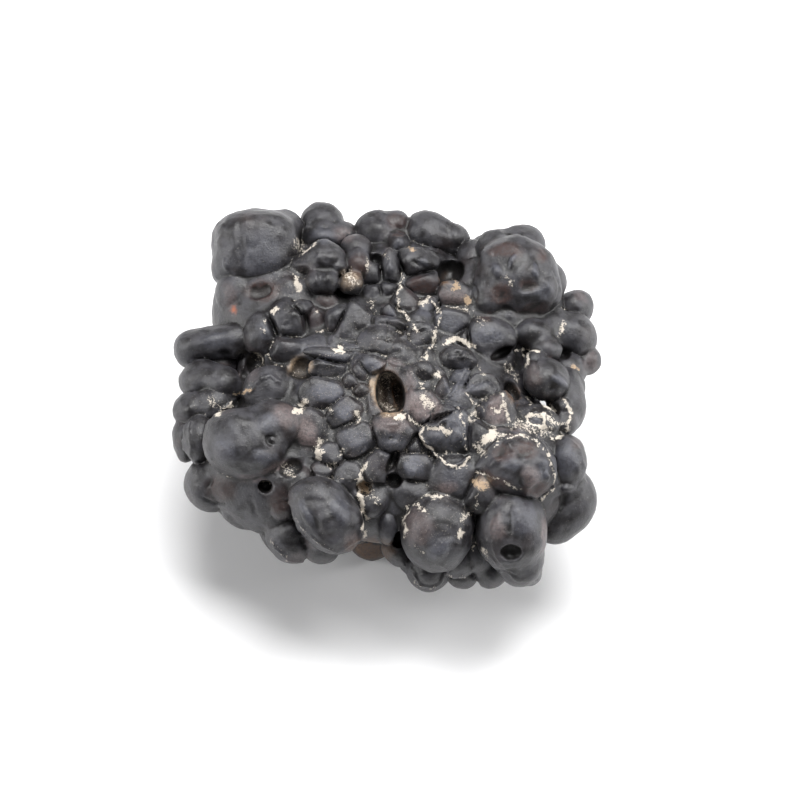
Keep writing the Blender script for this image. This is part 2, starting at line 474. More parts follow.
# Fine ridges and cracks: how far they stand out, half their width, and where they run.
RIDGES = [
    (0.30, 0.20, ((12.4, -6.0), (13.9, -4.7), (15.9, -4.5), (17.9, -5.3), (19.4, -6.8), (20.0, -9.0),
                  (19.8, -10.8), (18.4, -12.0), (16.6, -11.4))),
    (0.34, 0.20, ((4.1, -3.9), (4.6, -5.3), (6.0, -6.9), (7.4, -8.0), (8.8, -7.9), (10.1, -7.1))),
    (0.28, 0.18, ((4.2, -3.6), (5.2, -3.1), (6.2, -3.3), (6.9, -2.7))),
    (0.28, 0.16, ((4.3, -2.9), (5.3, -1.9), (6.8, -1.6))),
    (0.28, 0.16, ((8.4, -1.0), (9.3, -3.0), (9.6, -6.2))),
    (0.24, 0.14, ((9.1, -1.1), (9.9, -3.0), (10.2, -6.2))),
    (0.26, 0.20, ((1.9, 15.0), (1.8, 13.2), (1.2, 11.8), (2.0, 10.6), (2.6, 9.4), (3.4, 8.2), (4.4, 8.6))),
    (0.28, 0.18, ((4.9, 12.0), (6.2, 10.8), (6.3, 9.2), (5.7, 7.8), (5.3, 6.3), (4.7, 5.2), (4.1, 4.6))),
    (0.22, 0.18, ((-16.2, 0.6), (-15.2, 2.2), (-13.8, 2.6), (-12.6, 1.8))),
    (0.20, 0.18, ((-11.5, -12.4), (-10.7, -14.2), (-9.4, -15.8), (-7.8, -17.2), (-6.0, -18.2), (-4.4, -17.8),
                  (-3.2, -16.6))),
    (0.18, 0.18, ((-13.6, -16.6), (-13.0, -18.0), (-11.5, -19.2), (-9.9, -19.7))),
    (0.26, 0.20, ((2.9, -0.8), (2.9, 1.8), (1.9, 3.8), (0.2, 4.3), (-1.5, 3.2), (-2.2, 1.0), (-1.9, -1.4),
                  (-0.6, -2.9), (1.2, -3.1), (2.4, -2.2), (2.9, -0.8))),
    (0.24, 0.22, ((17.0, -2.3), (17.7, -1.9), (18.6, -2.1), (19.0, -2.8), (18.5, -3.4), (17.5, -3.4), (16.9, -2.9),
                  (17.0, -2.3))),
    (0.18, 0.18, ((21.5, -4.9), (23.0, -6.3), (23.6, -8.4))),
    (0.24, 0.18, ((9.3, 3.4), (8.7, 1.8), (7.8, 0.2))),
    (0.20, 0.16, ((9.4, 0.7), (12.2, 2.4), (13.0, 1.2), (12.0, -0.7), (9.6, 0.0), (9.4, 0.7))),
    (0.20, 0.16, ((-24.1, -3.2), (-24.4, -5.0), (-24.0, -6.6))),
    (0.20, 0.16, ((-23.2, -2.9), (-23.5, -4.8), (-23.2, -6.8))),
    (0.18, 0.16, ((-20.4, -2.2), (-19.2, -1.0), (-17.8, 0.2), (-16.8, 0.8))),
    (0.20, 0.16, ((6.9, -19.9), (8.0, -21.4), (9.6, -21.2), (10.4, -20.0))),
    (0.20, 0.16, ((3.0, -20.2), (4.0, -22.3), (6.0, -22.4), (7.2, -20.6))),
    (0.18, 0.14, ((11.4, -17.0), (11.9, -19.0), (13.4, -20.4), (15.2, -21.3), (16.2, -21.7))),
    (0.18, 0.14, ((12.0, -16.8), (12.4, -18.6), (13.8, -20.0), (15.4, -20.8))),
    (0.16, 0.14, ((12.7, -17.0), (13.1, -18.7), (14.3, -19.9), (15.8, -20.2))),
    (-0.30, 0.14, ((-6.3, -3.7), (-5.2, -3.6), (-4.1, -3.1), (-3.2, -3.0))),
    (-0.22, 0.12, ((0.0, 9.6), (0.1, 8.2), (-0.1, 7.0))),
    (-0.22, 0.12, ((-1.5, 7.2), (0.4, 7.0), (1.2, 7.9), (3.0, 7.8))),
    (-0.26, 0.20, ((-4.8, 5.9), (-2.4, 5.4), (0.2, 5.1), (1.8, 5.6))),
    (-0.22, 0.16, ((-21.9, -12.0), (-20.6, -12.6), (-19.4, -12.6))),
    (-0.20, 0.18, ((19.9, 15.4), (20.8, 13.8), (20.6, 12.0), (19.8, 10.6))),
    (-0.22, 0.18, ((10.6, 16.2), (10.2, 14.4), (10.9, 12.6), (10.6, 10.6))),
    (0.22, 0.16, ((-4.1, -6.9), (-3.2, -6.4), (-2.3, -6.0))),
]

# Colours, in linear light.
DARK = (0.011, 0.010, 0.011)
GREY = (0.040, 0.039, 0.044)
BROWN = (0.040, 0.021, 0.018)
PINK = (0.150, 0.115, 0.112)
BLUE = (0.085, 0.088, 0.108)
TAN = (0.400, 0.290, 0.190)
RUST = (0.300, 0.085, 0.035)
CREAM = (0.620, 0.560, 0.480)
UMBER = (0.110, 0.062, 0.034)

# Stains of the face: colour, strength, across, up, half sizes and a turn.
STAINS = [
    (BROWN, 0.9, -14.8, 12.9, 2.2, 1.4, 0),
    (PINK, 0.35, -18.7, 12.0, 0.9, 2.2, 10),
    (RUST, 0.9, -18.3, 10.7, 0.5, 0.4, -45),
    (PINK, 0.45, -5.2, 19.8, 1.5, 1.2, 0),
    (BROWN, 0.8, -3.3, 15.8, 1.4, 1.5, 0),
    (TAN, 0.35, -4.2, 14.1, 1.4, 1.3, 0),
    (BROWN, 0.6, -7.3, 11.5, 1.3, 1.1, 0),
    (BROWN, 0.5, -8.6, 9.3, 1.5, 1.6, 0),
    (BROWN, 0.8, 4.3, 13.5, 2.0, 1.3, 0),
    (PINK, 0.55, 8.1, 12.2, 1.9, 1.3, 0),
    (BROWN, 0.6, 1.4, 21.4, 1.5, 1.1, 0),
    (BROWN, 0.8, 1.7, 20.0, 1.0, 0.5, 0),
    (BROWN, 0.9, 14.3, 17.8, 2.2, 0.9, 0),
    (BROWN, 0.9, 13.8, 12.4, 1.4, 1.2, 0),
    (BROWN, 0.9, 16.8, 13.4, 1.2, 0.7, 0),
    (BROWN, 0.9, 18.6, 17.0, 0.8, 0.9, 0),
    (BROWN, 0.7, 17.6, 10.6, 2.2, 0.9, 15),
    (BROWN, 0.7, 11.8, 9.7, 0.9, 0.8, 0),
    (PINK, 0.40, 24.6, 4.4, 1.1, 1.7, 0),
    (PINK, 0.35, 23.4, 12.2, 1.1, 0.7, -40),
    (PINK, 0.30, 22.8, -5.4, 0.8, 0.8, 0),
    (BROWN, 0.95, 13.9, -6.6, 1.2, 1.2, 0),
    (BROWN, 0.95, 16.6, -6.2, 1.7, 1.0, 0),
    (BROWN, 0.9, 17.8, -10.7, 1.8, 1.1, 0),
    (BROWN, 0.9, 12.6, -9.6, 2.4, 0.9, -20),
    (PINK, 0.50, 17.1, -9.3, 1.1, 1.3, 0),
    (PINK, 0.45, 13.2, -15.4, 0.9, 1.8, 0),
    (PINK, 0.60, 18.8, -16.6, 0.5, 2.8, 0),
    (PINK, 0.45, 3.8, -15.3, 1.9, 2.3, 0),
    (PINK, 0.60, 7.4, -10.6, 1.2, 0.8, 0),
    (PINK, 0.65, -12.1, -2.2, 1.5, 1.6, 0),
    (PINK, 0.80, -9.4, -4.0, 1.3, 2.4, 20),
    (PINK, 0.60, -12.6, -8.2, 2.6, 0.6, 15),
    (PINK, 0.45, -15.9, -9.7, 1.8, 0.5, 0),
    (PINK, 0.85, 4.6, -1.0, 2.0, 1.8, 0),
    (PINK, 0.60, 0.6, -3.1, 2.4, 0.9, 0),
    (PINK, 0.55, 2.9, 0.6, 0.8, 2.8, 0),
    (PINK, 0.50, 0.4, 4.0, 1.8, 0.7, 0),
    (PINK, 0.85, 13.1, -1.7, 1.3, 2.0, 0),
    (PINK, 0.35, 17.7, 2.7, 1.0, 1.5, 0),
    (PINK, 0.40, 15.6, -4.0, 1.4, 0.9, 0),
    (BROWN, 0.7, -19.6, -10.8, 2.0, 1.6, 0),
    (BROWN, 0.6, -12.5, -12.5, 1.4, 1.6, 0),
    (PINK, 0.30, -10.6, -19.2, 1.6, 0.8, 0),
    (PINK, 0.45, -4.0, -17.2, 1.0, 1.2, 0),
    (UMBER, 0.9, -1.7, -18.2, 2.8, 1.6, 0),
    (BLUE, 0.70, -7.1, 0.6, 2.4, 1.3, 0),
    (BLUE, 0.75, -4.9, -1.7, 1.2, 1.3, 0),
    (BLUE, 0.60, -3.5, -5.0, 1.8, 1.4, 0),
    (BLUE, 0.80, 3.3, -8.1, 1.3, 1.3, 0),
    (BLUE, 0.70, -1.7, 3.8, 1.1, 0.8, 0),
    (BLUE, 0.60, -6.3, 4.8, 2.6, 0.7, -9),
    (BLUE, 0.55, 8.6, 2.0, 1.3, 2.6, -24),
    (BLUE, 0.55, 8.4, -3.6, 1.6, 2.6, 0),
    (BLUE, 0.45, 5.9, -4.8, 1.3, 1.3, 0),
    (BLUE, 0.60, 11.1, 1.4, 1.4, 0.6, 20),
    (BLUE, 0.40, 1.0, -5.2, 1.8, 1.2, 0),
    (BLUE, 0.55, 12.1, 7.6, 2.4, 1.2, 0),
    (BLUE, 0.45, 7.7, 9.0, 1.4, 1.4, 0),
    (BLUE, 0.45, 0.8, 10.2, 0.9, 0.9, 0),
    (BLUE, 0.50, 4.8, 10.6, 1.3, 1.2, 0),
    (BLUE, 0.50, -18.9, -6.3, 1.4, 1.5, 0),
    (BLUE, 0.50, -14.5, -7.0, 1.6, 0.9, 0),
    (BLUE, 0.50, -14.0, -3.0, 1.3, 1.3, 0),
    (BLUE, 0.45, -9.4, -13.6, 0.6, 1.8, 22),
    (BLUE, 0.45, -5.3, -13.4, 1.1, 1.9, 22),
    (BLUE, 0.50, 16.3, -14.2, 1.8, 2.2, 0),
    (BLUE, 0.50, 21.4, -7.2, 1.6, 2.3, 0),
    (BLUE, 0.60, 14.8, -7.8, 1.1, 0.9, 0),
    (BLUE, 0.60, 18.8, -8.3, 0.7, 1.3, 0),
    (BLUE, 0.45, 6.5, -17.8, 0.9, 2.0, -50),
    (BLUE, 0.40, 8.3, -9.2, 1.8, 1.4, 0),
    (BLUE, 0.40, -15.0, 17.2, 2.6, 3.2, 0),
    (BLUE, 0.40, -7.6, 19.6, 1.8, 1.2, 0),
    (BLUE, 0.40, -20.4, 7.0, 2.4, 1.0, 5),
    (BLUE, 0.45, -14.7, 8.0, 1.0, 1.2, 0),
    (BLUE, 0.55, 13.1, 15.3, 0.6, 0.9, 0),
    (BLUE, 0.55, 15.0, 16.5, 0.5, 1.0, -30),
    (BLUE, 0.60, 17.9, 15.2, 0.6, 1.0, 0),
    (BLUE, 0.45, 19.0, 12.8, 1.2, 1.0, 20),
    (BLUE, 0.45, 4.6, 16.2, 0.9, 0.6, -20),
    (BLUE, 0.40, 1.5, 18.6, 0.7, 1.0, 0),
    (BLUE, 0.60, 20.8, 2.0, 1.1, 0.6, -45),
    (BLUE, 0.50, 17.9, -2.7, 0.8, 0.6, 0),
    (UMBER, 1.0, 0.4, 0.6, 1.9, 2.9, 8),
    (TAN, 0.75, -1.1, 0.9, 0.8, 2.2, 6),
    (TAN, 0.60, 0.6, -1.6, 1.4, 0.8, 0),
    (UMBER, 0.8, 7.0, 14.4, 0.9, 0.8, 0),
    (TAN, 0.75, -10.2, 3.6, 1.5, 1.3, 0),
    (UMBER, 0.6, 15.0, 0.4, 0.9, 1.4, 0),
    (TAN, 0.55, 11.4, -10.0, 1.0, 0.7, 0),
]

# Dust that has stuck: colour, thickness, half width and where it lies, spot or line.
DUST = [
    (CREAM, 0.55, 0.8, ((-10.8, 18.6), (-10.4, 17.9))),
    (CREAM, 0.8, 0.3, ((-10.1, 17.6), (-8.6, 18.4))),
    (CREAM, 0.85, 0.45, ((-10.8, 14.3), (-10.6, 12.9))),
    (CREAM, 0.9, 0.35, ((-13.7, 10.4), (-12.9, 10.7))),
    (CREAM, 0.7, 0.25, ((-14.3, 9.4), (-14.2, 9.3))),
    (CREAM, 0.7, 0.25, ((-14.8, 8.2), (-14.6, 8.1))),
    (CREAM, 0.7, 0.35, ((-7.8, 8.2), (-7.2, 8.1))),
    (CREAM, 0.6, 0.3, ((-8.1, 10.3), (-7.9, 10.0))),
    (CREAM, 1.0, 0.35, ((-6.2, 5.8), (-5.2, 5.7))),
    (CREAM, 0.5, 0.3, ((-7.6, 5.3), (-6.6, 5.1))),
    (CREAM, 0.5, 0.9, ((-4.4, 14.9), (-3.9, 13.6))),
    (CREAM, 0.6, 0.25, ((-2.3, 16.6), (-2.2, 14.9))),
    (CREAM, 0.45, 0.6, ((-1.7, 11.4), (-1.4, 10.3))),
    (TAN, 0.8, 0.3, ((3.0, 17.9), (3.4, 17.6))),
    (CREAM, 0.5, 0.4, ((-0.4, 17.4), (0.2, 17.2))),
    (CREAM, 0.75, 0.22, ((1.8, 14.8), (1.7, 13.2), (1.2, 11.6), (2.2, 9.9), (3.7, 8.1))),
    (CREAM, 0.9, 0.45, ((4.1, 11.4), (5.1, 11.8))),
    (CREAM, 0.75, 0.2, ((5.6, 11.4), (6.5, 10.6), (6.2, 8.9), (5.4, 6.4), (4.7, 5.2))),
    (CREAM, 1.0, 0.4, ((4.2, 4.5), (4.9, 4.9))),
    (CREAM, 1.0, 0.32, ((7.2, 6.6), (8.7, 6.9), (10.2, 6.3))),
    (TAN, 1.0, 0.4, ((8.3, 13.2), (8.5, 13.7))),
    (TAN, 1.0, 0.45, ((9.6, 12.1), (9.8, 11.6))),
    (CREAM, 0.5, 0.3, ((7.4, 10.7), (8.8, 10.9), (10.3, 10.3))),
    (CREAM, 0.45, 0.7, ((10.9, 9.7), (11.5, 9.0))),
    (CREAM, 0.5, 0.5, ((14.2, 14.4), (15.0, 13.6))),
    (CREAM, 0.85, 0.3, ((15.9, 5.7), (17.0, 5.8), (18.1, 5.6))),
    (CREAM, 0.8, 0.25, ((16.5, 5.2), (17.2, 4.6), (16.6, 3.6))),
    (CREAM, 0.6, 0.45, ((21.1, 9.1), (21.0, 7.8))),
    (TAN, 0.8, 0.3, ((22.2, 3.9), (23.1, 3.5))),
    (CREAM, 1.0, 0.32, ((6.0, 2.7), (6.4, 2.6))),
    (CREAM, 0.9, 0.32, ((4.0, 1.7), (4.4, 1.5))),
    (CREAM, 0.5, 0.7, ((14.5, 4.0), (15.6, 2.4))),
    (CREAM, 0.6, 0.35, ((11.0, 3.6), (11.4, 3.0))),
    (CREAM, 0.95, 0.28, ((-20.1, -2.1), (-18.9, -0.9), (-18.6, -0.6))),
    (TAN, 0.9, 0.25, ((-17.8, 0.3), (-16.7, 0.8), (-16.0, 0.9))),
    (CREAM, 0.5, 0.6, ((-20.8, -0.2), (-20.1, -0.9))),
    (CREAM, 1.0, 0.45, ((-10.9, -1.5), (-10.3, -1.2), (-9.8, -0.5))),
    (CREAM, 0.8, 0.25, ((-6.6, -1.4), (-6.4, -1.5))),
    (CREAM, 0.95, 0.28, ((-3.2, -1.7), (-3.2, -2.7))),
    (CREAM, 0.95, 0.34, ((-7.8, -4.9), (-8.2, -6.2), (-7.9, -7.3))),
    (CREAM, 0.8, 0.45, ((-7.4, -6.3), (-7.8, -6.6))),
    (CREAM, 0.5, 0.6, ((-6.8, -7.9), (-6.0, -7.8))),
    (CREAM, 0.55, 0.25, ((-5.2, -6.0), (-5.5, -7.3))),
    (CREAM, 0.45, 0.3, ((-6.9, -9.2), (-4.9, -9.6))),
    (CREAM, 0.95, 0.3, ((-2.4, -7.8), (-3.3, -10.2), (-2.9, -12.2), (-2.5, -14.2), (-2.7, -16.6))),
    (TAN, 0.9, 0.6, ((-3.0, -10.4), (-2.3, -10.8))),
    (CREAM, 0.45, 0.8, ((-1.8, -10.6), (-1.2, -12.0))),
    (CREAM, 0.5, 0.4, ((-12.4, -8.0), (-11.0, -9.2))),
    (CREAM, 0.95, 0.3, ((0.2, -2.0), (1.2, -2.3), (2.2, -2.2))),
    (CREAM, 0.7, 0.7, ((4.6, 0.1), (5.3, -0.7))),
    (CREAM, 0.8, 0.25, ((2.8, -2.3), (4.2, -3.4))),
    (CREAM, 0.95, 0.2, ((4.1, -3.9), (4.6, -5.3), (6.0, -6.9), (7.4, -8.0), (8.8, -7.9), (10.1, -7.1))),
    (CREAM, 0.85, 0.3, ((4.9, -3.6), (6.4, -3.5), (7.5, -4.0))),
    (CREAM, 0.6, 0.2, ((8.4, -1.0), (9.3, -3.0), (9.7, -6.2))),
    (CREAM, 0.6, 0.2, ((9.6, 0.5), (10.5, -0.6), (11.6, -1.4))),
    (CREAM, 0.8, 0.5, ((10.2, -2.4), (10.7, -2.0))),
    (CREAM, 0.9, 0.45, ((12.7, -1.5), (13.2, -1.8))),
    (CREAM, 0.8, 0.28, ((13.7, 0.4), (14.2, -1.6), (14.8, -3.6))),
    (CREAM, 1.0, 0.65, ((11.8, -4.8), (12.8, -4.3))),
    (CREAM, 0.6, 0.5, ((10.8, -5.6), (11.6, -6.6))),
    (CREAM, 0.85, 0.25, ((16.9, 0.3), (17.5, -0.9))),
    (CREAM, 0.95, 0.24, ((16.8, -2.2), (17.9, -1.8), (18.9, -2.3), (18.7, -3.3), (17.4, -3.3), (16.8, -2.5))),
    (CREAM, 0.9, 0.4, ((19.0, -1.0), (19.9, -1.7))),
    (CREAM, 0.9, 0.26, ((21.4, -0.3), (21.9, -1.8), (21.5, -3.9))),
    (CREAM, 0.8, 0.3, ((19.4, -2.4), (21.1, -3.3))),
    (CREAM, 0.5, 0.9, ((15.8, -3.0), (17.6, -4.2), (19.4, -3.9))),
    (CREAM, 0.85, 0.26, ((19.7, -4.9), (20.9, -4.4))),
    (CREAM, 0.75, 0.17, ((12.4, -6.0), (13.9, -4.6), (15.9, -4.4), (17.9, -5.2), (19.4, -6.8), (20.0, -9.0),
                         (19.8, -10.8), (18.4, -12.1))),
    (CREAM, 0.7, 0.22, ((10.5, -8.8), (13.9, -9.7), (15.7, -10.7))),
    (TAN, 0.95, 0.6, ((10.9, -10.0), (11.7, -10.4))),
    (CREAM, 0.5, 0.3, ((11.0, -11.3), (10.7, -13.3))),
    (CREAM, 0.7, 0.55, ((9.7, -13.6), (8.9, -14.2))),
    (CREAM, 1.0, 0.42, ((8.8, -15.7), (8.6, -16.3))),
    (CREAM, 0.8, 0.22, ((11.5, -17.9), (11.9, -19.3))),
    (CREAM, 0.6, 0.3, ((10.5, -16.4), (10.4, -17.8))),
    (CREAM, 0.75, 0.24, ((5.0, -11.5), (5.9, -12.0), (7.0, -11.4), (7.6, -11.7))),
    (CREAM, 0.8, 0.28, ((3.5, -12.8), (5.0, -13.3))),
    (CREAM, 0.85, 0.28, ((2.5, -13.0), (2.1, -14.9), (2.4, -16.4))),
    (CREAM, 0.45, 0.3, ((2.9, -17.2), (4.5, -18.2))),
    (CREAM, 0.5, 0.16, ((7.4, -21.2), (8.8, -21.5), (10.2, -20.9))),
    (CREAM, 0.45, 0.16, ((3.4, -21.9), (4.6, -22.9), (6.4, -22.4))),
    (CREAM, 0.4, 0.2, ((-11.5, -12.4), (-10.7, -14.2), (-9.4, -15.8), (-7.8, -17.2), (-6.0, -18.2))),
    (CREAM, 0.4, 0.2, ((-13.6, -16.6), (-13.0, -18.0), (-11.5, -19.2))),
]
# Patches of the face where fine light specks lie thickly: across, up, half sizes and how thickly.
SPECKLED = [
    (0.0, 0.0, 13.0, 12.0, 0.5),
    (16.0, -1.5, 6.5, 5.0, 0.45),
    (-11.5, 14.5, 3.0, 5.0, 0.4),
    (-20.5, -1.0, 3.0, 3.0, 0.35),
    (6.0, -14.0, 5.0, 5.0, 0.35),
    (-9.0, -10.0, 4.0, 2.5, 0.3),
]

# Blunt feet: x, y, half size across and half height. Their lowest TRIM is cut off flat.
FEET = [
    (-1.7, -10.6, 3.0, 3.8),
    (-9.0, 8.5, 4.6, 4.8),
    (9.8, 7.2, 4.4, 5.0),
]
TRIM = 0.35

# Knobs of the rear and the underside, spread evenly over the stone and kept out of the face's sight.
# Each is sunk by a share of its size.
REAR_KNOBS = 130
REAR_SIZES = (2.2, 4.6)
REAR_CENTRE = (0.0, 0.0, 15.5)
REAR_SINKS = (-0.05, 0.75)
REAR_SEED = 4
LOWEST_REAR_KNOB = 0.7
GOLDEN_ANGLE = math.pi * (3 - math.sqrt(5))
STEP_IN = 0.35

Lump = namedtuple("Lump", "centre turn sizes power facets soft")

ACROSS = np.array((1.0, 0.0, 0.0))
UP = np.array((0.0, math.sin(SIGHT_TILT), math.cos(SIGHT_TILT)))
OUT = np.array((0.0, -math.cos(SIGHT_TILT), math.sin(SIGHT_TILT)))
SIGHT = np.column_stack((ACROSS, UP, OUT))
FACE_MIDDLE = np.array((0.0, 0.0, FACE_MIDDLE_HEIGHT))


def in_plane_turn(degrees):
    """A turn about the sight line, from its frame into the world."""
    cosine = math.cos(math.radians(degrees))
    sine = math.sin(math.radians(degrees))
    return SIGHT @ np.array(((cosine, -sine, 0), (sine, cosine, 0), (0, 0, 1)))


def seen_at(across, up, height):
    """The point that is seen there and lies at this height."""
    out = (height - up * math.cos(SIGHT_TILT)) / math.sin(SIGHT_TILT)
    return FACE_MIDDLE + SIGHT @ np.array((across, up, out))


def ray_exit(lump, start, direction):
    """How far along the ray it leaves the lump, or None where it misses."""
    origin = (lump.turn.T @ (start - lump.centre)) / lump.sizes
    step = (lump.turn.T @ direction) / lump.sizes
    a = step @ step
    b = origin @ step
    under_root = b * b - a * (origin @ origin - 1)
    if under_root < 0:
        return None
    return (math.sqrt(under_root) - b) / a


def front(lumps, across, up):
    """The height out to the eye of the surface that is seen there, or None beside the stone."""
    start = FACE_MIDDLE + SIGHT @ np.array((across, up, 0.0))
    found = [ray_exit(lump, start, OUT) for lump in lumps]
    return max((distance for distance in found if distance is not None), default=None)


def leaning(way, lean):
    """A direction that leans this far from the eye, towards this way round."""
    way = math.radians(way)
    lean = math.radians(lean)
    return np.array(
        (math.sin(lean) * math.cos(way), math.sin(lean) * math.sin(way), math.cos(lean))
    )


def mass_lumps():
    upright = np.identity(3)
    return [
        Lump(np.array((x, y, FACE_MIDDLE_HEIGHT + height)), upright, np.array(sizes), 2, (), MASS_SOFTNESS)
        for x, y, height, *sizes in MASSES
    ]


def lobe_lumps():
    """The lobes, each a list of knobs."""
    return [
        [
            Lump(
                seen_at(across, up, height),
                in_plane_turn(turn),
                np.array(sizes) + LOBE_SWELL,
                power,
                (),
                soft,
            )
            for across, up, height, *sizes, turn, power in knobs
        ]
        for soft, knobs in LOBES.values()
    ]


def side_cuts(index, turn):
    """Planes that part a cobble from its neighbours, each by how large the two are."""
    across, up, _, half_across, half_up = COBBLES[index][:5]
    cuts = []
    for other, row in enumerate(COBBLES):
        gap = math.hypot(row[0] - across, row[1] - up)
        if other == index or gap > NEIGHBOUR_REACH:
            continue
        own = half_across * half_up
        share = (gap * gap + own - row[3] * row[4]) / (2 * gap)
        if share > 0.35 * gap or gap > 1.2:
            way = math.degrees(math.atan2(row[1] - up, row[0] - across)) - turn
            cuts.append((leaning(way, 90 - math.degrees(SIDE_LEAN)), max(0.4, share)))
    return cuts


def cobble_lumps(lumps):
    """Cobbles, each set on what is seen behind it."""
    lumps = list(lumps)
    found = []
    for index, (across, up, proud, *sizes, turn, soft, facets) in enumerate(COBBLES):
        out = front(lumps, across, up) + proud - 0.55 * sizes[2]
        place = FACE_MIDDLE + SIGHT @ np.array((across, up, out))
        sizes = np.array((sizes[0] * COBBLE_SWELL, sizes[1] * COBBLE_SWELL, sizes[2] * 1.1))
        cuts = [
            (leaning(way - turn, lean), depth * np.linalg.norm(leaning(way - turn, lean) * sizes))
            for way, lean, depth in facets
        ]
        lump = Lump(place, in_plane_turn(turn), sizes, 2, tuple(cuts + side_cuts(index, turn)), soft)
        found.append(lump)
        lumps.append(Lump(place, in_plane_turn(turn), sizes * 0.85, 2, (), soft))
    return found


def foot_lumps():
    return [
        Lump(
            np.array((x, y, half_height - TRIM)), np.identity(3), np.array((half, half, half_height)), 2, (), 0.8
        )
        for x, y, half, half_height in FEET
    ]


def is_out_of_sight(face, place, size):
    """Whether a knob there hides behind the face: its rim and its middle lie behind what is seen."""
    across, up, out = SIGHT.T @ (place - FACE_MIDDLE)
    for step in range(13):
        angle = step * math.tau / 12
        reach = size * 0.95 if step < 12 else 0.0
        seen = front(face, across + reach * math.cos(angle), up + reach * math.sin(angle))
        bulge = 0.3 * size if step < 12 else size
        if seen is None or seen < out + bulge:
            return False
    return True


def rear_lumps(face):
    """Knobs along evenly spread directions, each drawn in until the face hides it."""
    draw = random.Random(REAR_SEED)
    centre = np.array(REAR_CENTRE)
    lumps = []
    for index in range(REAR_KNOBS):
        sine = 1 - 2 * (index + 0.5) / REAR_KNOBS
        cosine = math.sqrt(1 - sine * sine)
        angle = index * GOLDEN_ANGLE
        direction = np.array((cosine * math.cos(angle), cosine * math.sin(angle), sine))
        size = draw.uniform(*REAR_SIZES)
        sizes = np.array([size * draw.uniform(0.85, 1.15) for _ in range(3)])
        spin = draw.uniform(0, math.tau)
        turn = np.array(
            ((math.cos(spin), -math.sin(spin), 0), (math.sin(spin), math.cos(spin), 0), (0, 0, 1))
        )
        exits = [ray_exit(lump, centre, direction) for lump in face]
        surface = max(found for found in exits if found is not None)
        reach = surface - size * draw.uniform(*REAR_SINKS)
        place = centre + direction * reach
        while reach > size and not (
            is_out_of_sight(face, place, size) and place[2] - size > LOWEST_REAR_KNOB
        ):
            reach -= STEP_IN
            place = centre + direction * reach
        if reach > size:
            lumps.append(Lump(place, turn, sizes, 2, (), 0.3))
    return lumps


# Noise

def lattice(cells, seed):
    """A fixed number from -1 to 1 for each whole-numbered cell."""
    mixed = (
        cells[..., 0].astype(np.int64) * 374761393
        + cells[..., 1].astype(np.int64) * 668265263
        + cells[..., 2].astype(np.int64) * 1274126177
        + seed * 974634777
    ) & 0xFFFFFFFF
    mixed = ((mixed ^ (mixed >> 13)) * 1103515245) & 0xFFFFFFFF
    mixed = ((mixed ^ (mixed >> 16)) * 2246822519) & 0xFFFFFFFF
    mixed = mixed ^ (mixed >> 15)
    return mixed / 2147483648.0 - 1.0


def noise(points, size, seed):
    """Smooth noise from -1 to 1, with hills about this size."""
    scaled = points / size
    cell = np.floor(scaled)
    part = scaled - cell
    part = part * part * part * (part * (part * 6 - 15) + 10)
    total = np.zeros(len(points))
    for corner in range(8):
        step = np.array((corner & 1, corner >> 1 & 1, corner >> 2 & 1))
        weight = np.prod(np.where(step, part, 1 - part), axis=1)
        total += weight * lattice(cell + step, seed)
    return total


def strewn(points, size, seed):
    """The distance to the nearest of points strewn about this far apart, and a number for that point."""
    scaled = points / size
    cell = np.floor(scaled)
    nearest = np.full(len(points), 9.0)
    mark = np.zeros(len(points))
    for step in np.ndindex(3, 3, 3):
        other = cell + np.array(step) - 1
        place = other + 0.5 + 0.42 * np.stack([lattice(other, seed + axis) for axis in range(3)], 1)
        gap = np.linalg.norm(place - scaled, axis=1)
        closer = gap < nearest
        nearest[closer] = gap[closer]
        mark[closer] = lattice(other, seed + 7)[closer]
    return nearest, mark


# The stone's field

def grid_axes():
    return [
        np.arange(low, high, CELL, dtype=np.float32) for low, high in zip(FIELD_LOW, FIELD_HIGH)
    ]


def lump_distance(lump, x, y, z):
    """Signed distance to the lump, near enough, below zero inside."""
    local = [
        x * lump.turn[0, axis] + y * lump.turn[1, axis] + z * lump.turn[2, axis] for axis in range(3)
    ]
    scaled = [np.abs(local[axis] / lump.sizes[axis]) for axis in range(3)]
    if lump.power == 2:
        length = np.sqrt(scaled[0] ** 2 + scaled[1] ** 2 + scaled[2] ** 2)
        slope = sum((scaled[axis] / lump.sizes[axis]) ** 2 for axis in range(3))
        distance = length * (length - 1) / (np.sqrt(slope) + 1e-6)
    else:
        length = sum(scaled[axis] ** lump.power for axis in range(3)) ** (1 / lump.power) + 1e-6
        slope = sum(
            ((scaled[axis] / length) ** (lump.power - 1) / lump.sizes[axis]) ** 2 for axis in range(3)
        )
        distance = (length - 1) / (np.sqrt(slope) + 1e-6)
    for away, height in lump.facets:
        facet = sum(local[axis] * away[axis] for axis in range(3)) - height
        distance = -join_softly(-distance, -facet, FACET_ROUNDING)
    return distance.astype(np.float32)


def window_round(centre, reach):
    """The slices of the grid round a place, and the place's own axes there."""
    slices = []
    for axis in range(3):
        low = int((centre[axis] - reach - FIELD_LOW[axis]) / CELL)
        high = int((centre[axis] + reach - FIELD_LOW[axis]) / CELL) + 2
        slices.append(slice(max(0, low), max(0, high)))
    axes = grid_axes()
    x = axes[0][slices[0]][:, None, None] - centre[0]
    y = axes[1][slices[1]][None, :, None] - centre[1]
    z = axes[2][slices[2]][None, None, :] - centre[2]
    return tuple(slices), x, y, z


def join_softly(field, distance, soft):
    share = np.clip(0.5 + 0.5 * (field - distance) / soft, 0, 1)
    return field * (1 - share) + distance * share - soft * share * (1 - share)


def join_grooved(field, distance, scale):
    """Joins two bodies with a narrow groove where they meet."""
    groove = GROOVE_DEPTH * scale * np.exp(-(((field - distance) / GROOVE_WIDTH) ** 2))
    return join_softly(field, distance, LOBE_SOFTNESS * scale) + groove


